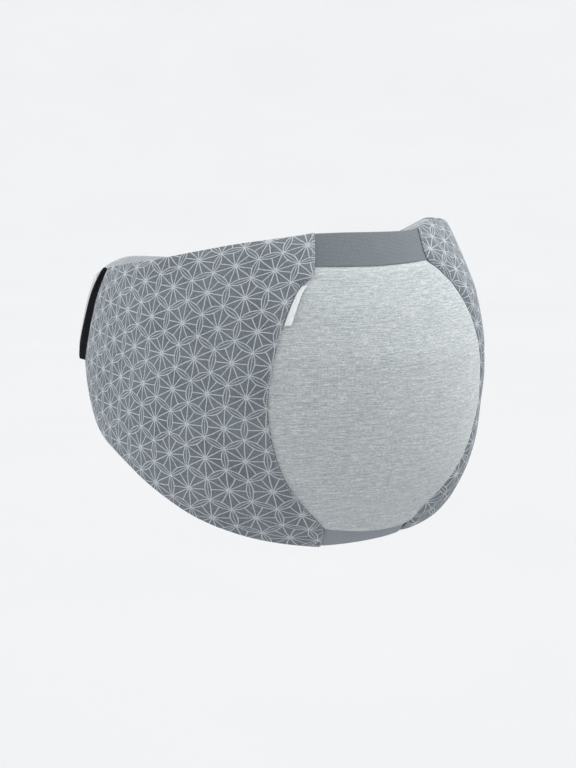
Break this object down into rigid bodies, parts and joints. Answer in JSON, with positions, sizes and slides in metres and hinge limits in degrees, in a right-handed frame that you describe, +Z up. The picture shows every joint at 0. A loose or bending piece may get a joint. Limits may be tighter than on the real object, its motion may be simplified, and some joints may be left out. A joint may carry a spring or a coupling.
{
  "type": "maternity support belt",
  "caption": "Maternity support belt in worn form: stretch belly pouch between elastic bands, padded printed side panels, soft back panel and a hook tab closure.",
  "frame": {"origin": "on the wearer's torso axis, at the belt's mid-height in front", "axes": "+Z up, -Y to the wearer's front through the middle of the pouch, +X to the wearer's left"},
  "size_m": [0.3554, 0.3488, 0.2694],
  "materials": {
    "melange_jersey": "light grey melange single jersey, matt, fine level streaks",
    "elastic_band": "mid grey folded elastic, matt, fine ribs",
    "printed_fabric": "grey knit on foam with a light star lattice print",
    "ribbed_lining": "light grey ribbed jersey",
    "loop_fabric": "light grey brushed loop knit",
    "hook_tape": "black hook tape, matt, fine rows",
    "satin_tag": "white satin ribbon, soft sheen, bare"
  },
  "bodies": {
    "root": {"belly_panel": "melange_jersey", "upper_band": "elastic_band", "lower_band": "elastic_band", "side_panel_right": "printed_fabric", "side_panel_left": "printed_fabric", "lining_right": "ribbed_lining", "lining_left": "ribbed_lining", "back_panel": "loop_fabric", "hook_tab": "hook_tape", "seam_tag": "satin_tag"}
  },
  "joints": []
}
